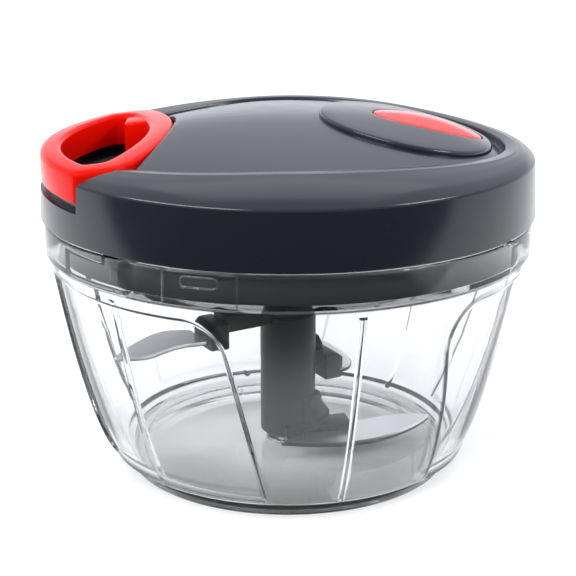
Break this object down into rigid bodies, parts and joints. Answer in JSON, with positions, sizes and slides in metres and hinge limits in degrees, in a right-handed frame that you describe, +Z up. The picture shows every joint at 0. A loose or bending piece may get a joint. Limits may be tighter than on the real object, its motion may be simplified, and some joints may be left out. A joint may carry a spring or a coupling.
{
  "type": "pull-cord hand chopper",
  "caption": "Hand chopper with a clear bowl, a dark domed lid, a red loop handle on a pull cord and crescent blades on a central shaft.",
  "frame": {"origin": "centre of the bowl's foot ring, on the surface that the chopper stands on", "axes": "+Z up along the axis of the bowl and the blade shaft, -X along the pull of the handle, -Y towards the viewer of the picture"},
  "size_m": [0.13, 0.13, 0.0952],
  "materials": {
    "clear_plastic": "clear, glossy, injection moulded",
    "slate_plastic": "fine satin, injection moulded",
    "dark_plastic": "satin",
    "red_plastic": "glossy",
    "white_plastic": "natural acetal",
    "silicone": "matt silicone",
    "steel": "turned",
    "blade_steel": "satin stainless steel",
    "cord": "braided nylon cord"
  },
  "bodies": {
    "bowl": {"bowl": "clear_plastic", "centre_pin": "steel"},
    "seal": {"seal_ring": "silicone"},
    "lid": {"top_cover": "slate_plastic", "oval_plate": "slate_plastic", "oval_insert": "red_plastic", "base_plate": "slate_plastic", "reel_axle": "steel", "axle_clip": "steel", "cord_guide": "white_plastic", "return_spring": "steel", "cord_run": "cord", "lid_screw_1": "steel", "lid_screw_2": "steel", "lid_screw_3": "steel", "lid_screw_4": "steel"},
    "handle": {"handle": "red_plastic", "cord_end": "cord"},
    "reel": {"cord_reel": "white_plastic", "spring_cover": "white_plastic", "cord_winding": "cord"},
    "blade_unit": {"blade_shaft": "dark_plastic", "lower_blade": "blade_steel", "middle_blade": "blade_steel", "upper_blade": "blade_steel"}
  },
  "joints": [
    {"name": "lid_lift", "type": "slide", "parent": "bowl", "child": "seal", "axis": [0, 0, 1], "range_m": [0, 0.09]},
    {"name": "lid_twist", "type": "hinge", "parent": "seal", "child": "lid", "pos_m": [0, 0, 0.07], "axis": [0, 0, -1], "range_deg": [0, 15]},
    {"name": "handle_pull", "type": "slide", "parent": "lid", "child": "handle", "axis": [-1, 0, 0], "range_m": [0, 0.28], "stiffness_N_per_m": 8, "springref_m": -0.35},
    {"name": "reel_spin", "type": "hinge", "parent": "lid", "child": "reel", "pos_m": [0, 0, 0.08], "axis": [0, 0, 1], "range_deg": [-865, 0]},
    {"name": "blade_spin", "type": "hinge", "parent": "bowl", "child": "blade_unit", "pos_m": [0, 0, 0.005], "axis": [0, 0, 1], "range_deg": [-865, 0]}
  ],
  "couplings": [
    {"joint": "reel_spin", "follows": "handle_pull", "rad_per_m": -53.908},
    {"joint": "blade_spin", "follows": "handle_pull", "rad_per_m": -53.908}
  ]
}
